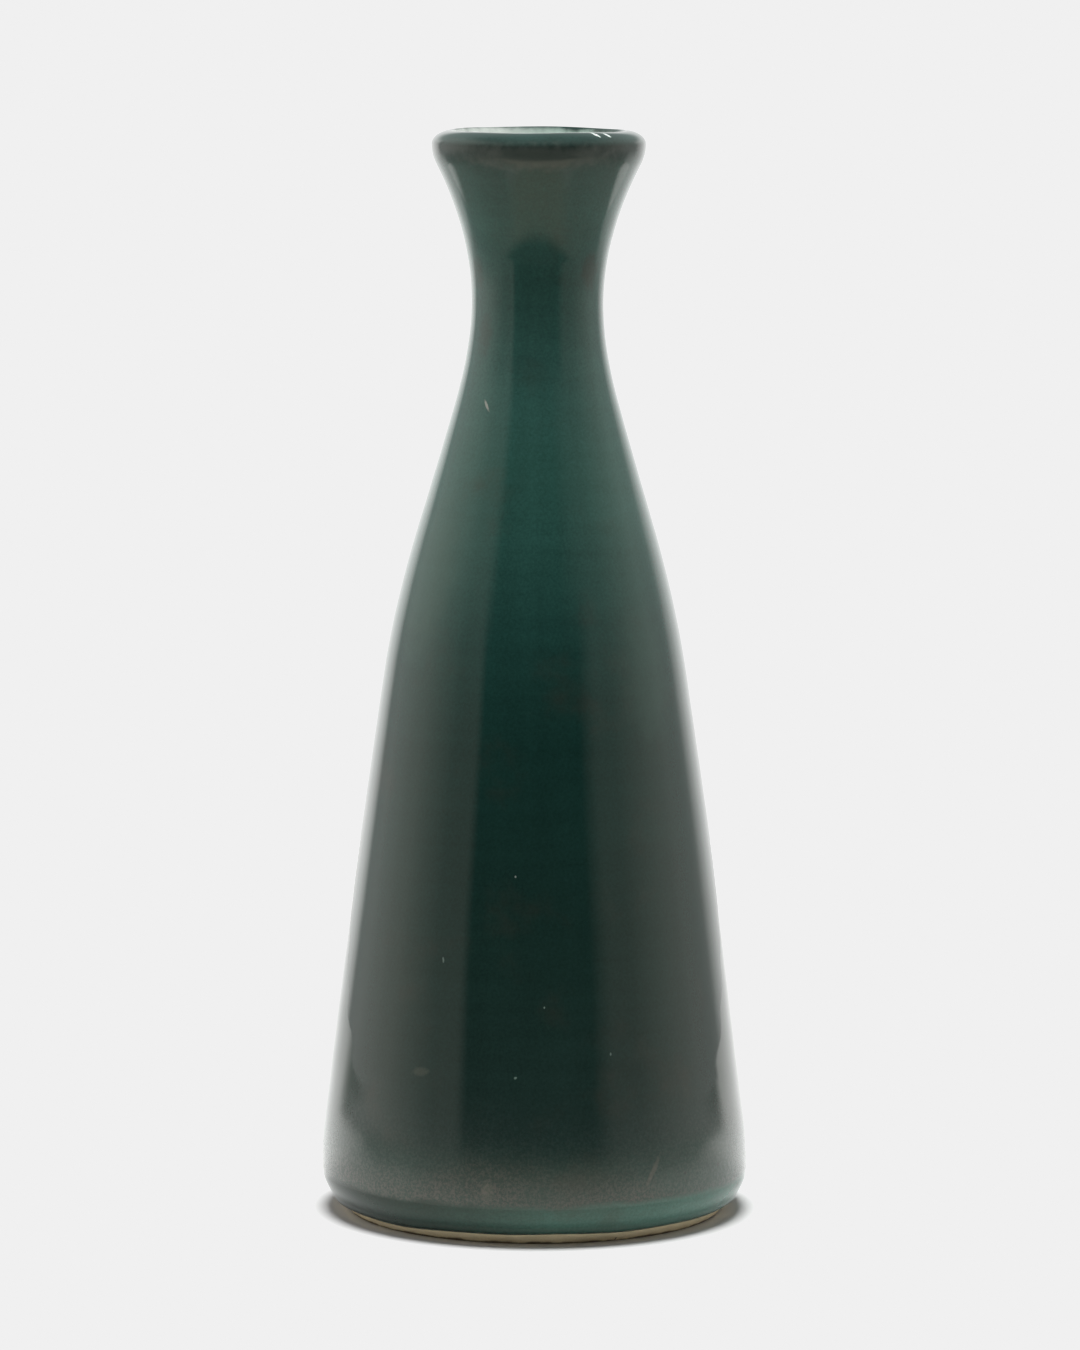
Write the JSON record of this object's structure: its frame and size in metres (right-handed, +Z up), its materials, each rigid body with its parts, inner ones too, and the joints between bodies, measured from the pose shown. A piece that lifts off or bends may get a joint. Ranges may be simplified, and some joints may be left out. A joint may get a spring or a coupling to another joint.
{
  "type": "sake bottle",
  "caption": "Glazed stoneware sake bottle: conical body, narrow neck, flared rounded lip and a chamfered foot with a bare clay ring.",
  "frame": {"origin": "centre of the foot ring's resting plane", "axes": "+Z up along the bottle's axis of revolution; +X and +Y are any two level directions, because the bottle is the same all round"},
  "size_m": [0.0818, 0.0818, 0.206],
  "materials": {
    "stoneware": "bare fired clay, matt and slightly sandy",
    "foot_glaze": "thick glossy green glaze",
    "body_glaze": "glossy dark green glaze, satin and speckled near the foot",
    "lip_glaze": "glossy thinner green glaze",
    "lining_glaze": "glossy pale green glaze"
  },
  "bodies": {
    "root": {"clay_body": "stoneware", "foot_glaze_roll": "foot_glaze", "outer_glaze": "body_glaze", "lip_glaze": "lip_glaze", "inner_glaze": "lining_glaze"}
  },
  "joints": []
}
